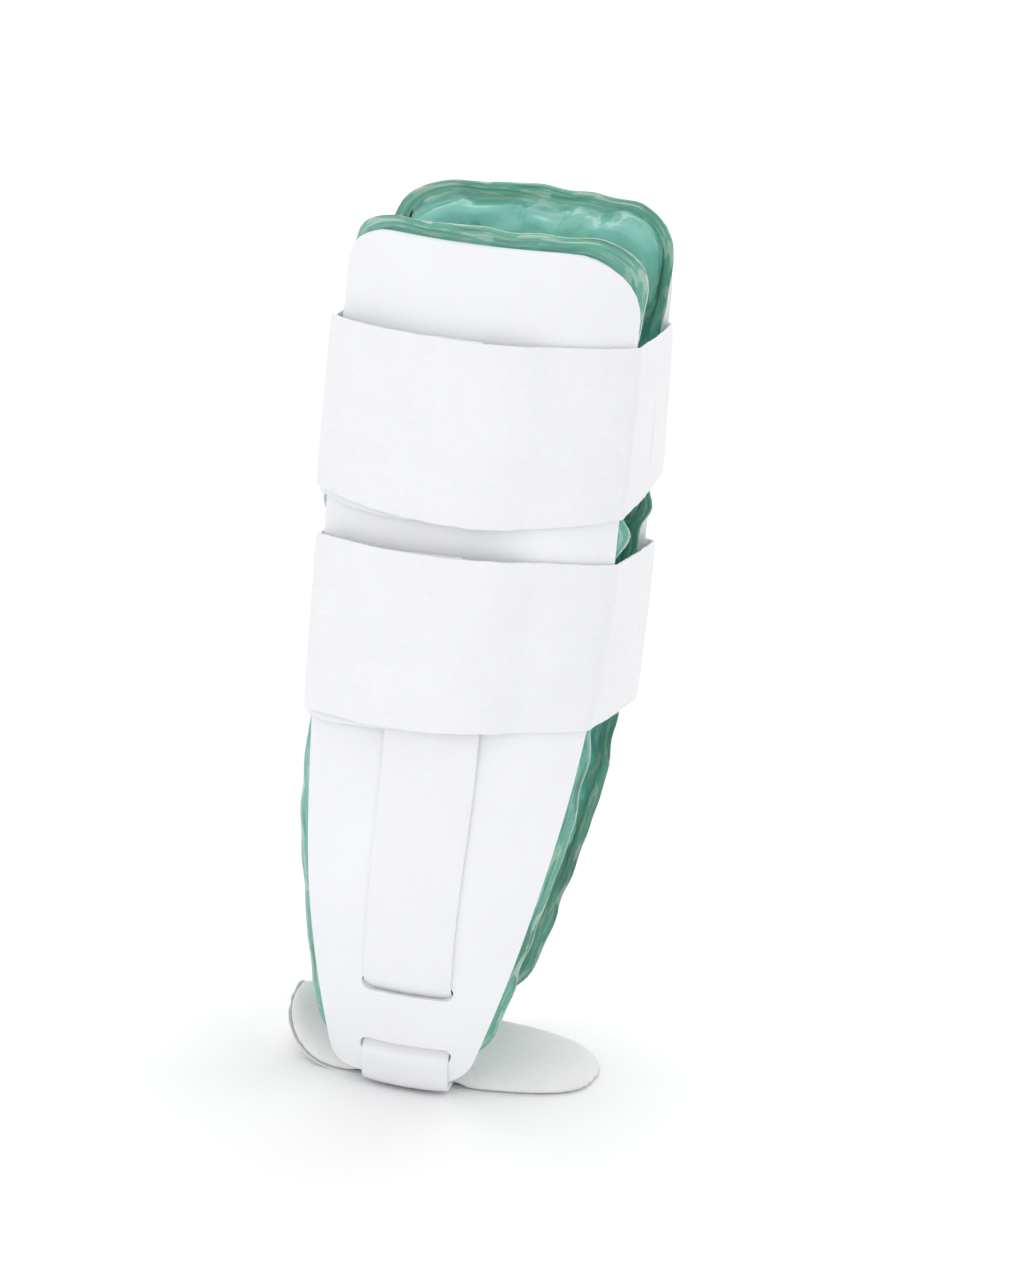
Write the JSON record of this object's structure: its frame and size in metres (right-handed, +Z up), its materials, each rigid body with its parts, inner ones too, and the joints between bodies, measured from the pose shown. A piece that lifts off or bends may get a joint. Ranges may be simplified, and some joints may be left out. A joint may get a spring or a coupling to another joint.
{
  "type": "ankle stirrup orthosis",
  "caption": "Ankle stirrup orthosis: moulded side shells with gel pads, joined under a padded heel by a threaded strap and held by hook-and-loop wrap straps.",
  "frame": {"origin": "under the middle of the leg, on the surface that the heel pad rests on", "axes": "+X to the front of the leg, -Y to the outer side, +Z up the leg"},
  "size_m": [0.0907, 0.1106, 0.2468],
  "materials": {
    "shell_plastic": "satin moulded polypropylene",
    "gel_film": "glossy tinted film",
    "gel": "clear tinted gel",
    "wrap_fabric": "fine brushed loop",
    "heel_webbing": "flat loop webbing",
    "hook_tape": "fine hook tape",
    "heel_foam": "soft foam",
    "heel_fabric": "brushed, fuzzy edge"
  },
  "bodies": {
    "heel_base": {"heel_pad_base_cover": "heel_fabric", "heel_strap_middle": "heel_webbing", "heel_pad_foam": "heel_foam", "heel_pad_top_cover": "heel_fabric"},
    "medial_side": {"medial_shell": "shell_plastic", "medial_pad_back_film": "gel_film", "medial_pad_gel": "gel", "medial_pad_front_film": "gel_film", "medial_pad_hook_dots": "hook_tape", "medial_shell_hook_patches": "hook_tape", "heel_strap_medial_end": "heel_webbing", "heel_strap_medial_hook_tab": "hook_tape", "upper_wrap_medial_band": "wrap_fabric", "lower_wrap_medial_band": "wrap_fabric"},
    "lateral_side": {"lateral_shell": "shell_plastic", "lateral_pad_back_film": "gel_film", "lateral_pad_gel": "gel", "lateral_pad_front_film": "gel_film", "lateral_pad_hook_dots": "hook_tape", "lateral_shell_hook_patches": "hook_tape", "heel_strap_lateral_end": "heel_webbing", "heel_strap_lateral_hook_tab": "hook_tape"},
    "upper_front": {"upper_wrap_front_span": "wrap_fabric"},
    "upper_outer": {"upper_wrap_outer_flap": "wrap_fabric", "upper_wrap_hook_tab": "hook_tape"},
    "upper_back": {"upper_wrap_back_flap": "wrap_fabric"},
    "lower_front": {"lower_wrap_front_span": "wrap_fabric"},
    "lower_outer": {"lower_wrap_outer_flap": "wrap_fabric", "lower_wrap_hook_tab": "hook_tape"},
    "lower_back": {"lower_wrap_back_flap": "wrap_fabric"}
  },
  "joints": [
    {"name": "medial_side_tilt", "type": "hinge", "parent": "heel_base", "child": "medial_side", "pos_m": [0, 0.0289, 0.00155], "axis": [-1, 0, 0], "range_deg": [0, 8]},
    {"name": "lateral_side_tilt", "type": "hinge", "parent": "heel_base", "child": "lateral_side", "pos_m": [0, -0.0289, 0.00155], "axis": [1, 0, 0], "range_deg": [0, 8]},
    {"name": "upper_front_span_swing", "type": "hinge", "parent": "medial_side", "child": "upper_front", "pos_m": [0.04196, 0.03301, 0.193], "axis": [0, 0, 1], "range_deg": [0, 80]},
    {"name": "upper_outer_flap_peel", "type": "hinge", "parent": "upper_front", "child": "upper_outer", "pos_m": [0.04399, -0.03479, 0.193], "axis": [0, 0, 1], "range_deg": [0, 110]},
    {"name": "upper_back_flap_peel", "type": "hinge", "parent": "medial_side", "child": "upper_back", "pos_m": [-0.04196, 0.03301, 0.193], "axis": [0, 0, -1], "range_deg": [0, 95]},
    {"name": "lower_front_span_swing", "type": "hinge", "parent": "medial_side", "child": "lower_front", "pos_m": [0.04294, 0.03387, 0.135], "axis": [0, 0, 1], "range_deg": [0, 80]},
    {"name": "lower_outer_flap_peel", "type": "hinge", "parent": "lower_front", "child": "lower_outer", "pos_m": [0.04496, -0.03565, 0.135], "axis": [0, 0, 1], "range_deg": [0, 110]},
    {"name": "lower_back_flap_peel", "type": "hinge", "parent": "medial_side", "child": "lower_back", "pos_m": [-0.04294, 0.03387, 0.135], "axis": [0, 0, -1], "range_deg": [0, 95]}
  ],
  "couplings": [
    {"joint": "lateral_side_tilt", "follows": "medial_side_tilt", "ratio": 1},
    {"joint": "upper_front_span_swing", "follows": "medial_side_tilt", "ratio": 10},
    {"joint": "upper_outer_flap_peel", "follows": "medial_side_tilt", "ratio": 13.75},
    {"joint": "upper_back_flap_peel", "follows": "medial_side_tilt", "ratio": 11.875},
    {"joint": "lower_front_span_swing", "follows": "medial_side_tilt", "ratio": 10},
    {"joint": "lower_outer_flap_peel", "follows": "medial_side_tilt", "ratio": 13.75},
    {"joint": "lower_back_flap_peel", "follows": "medial_side_tilt", "ratio": 11.875}
  ]
}
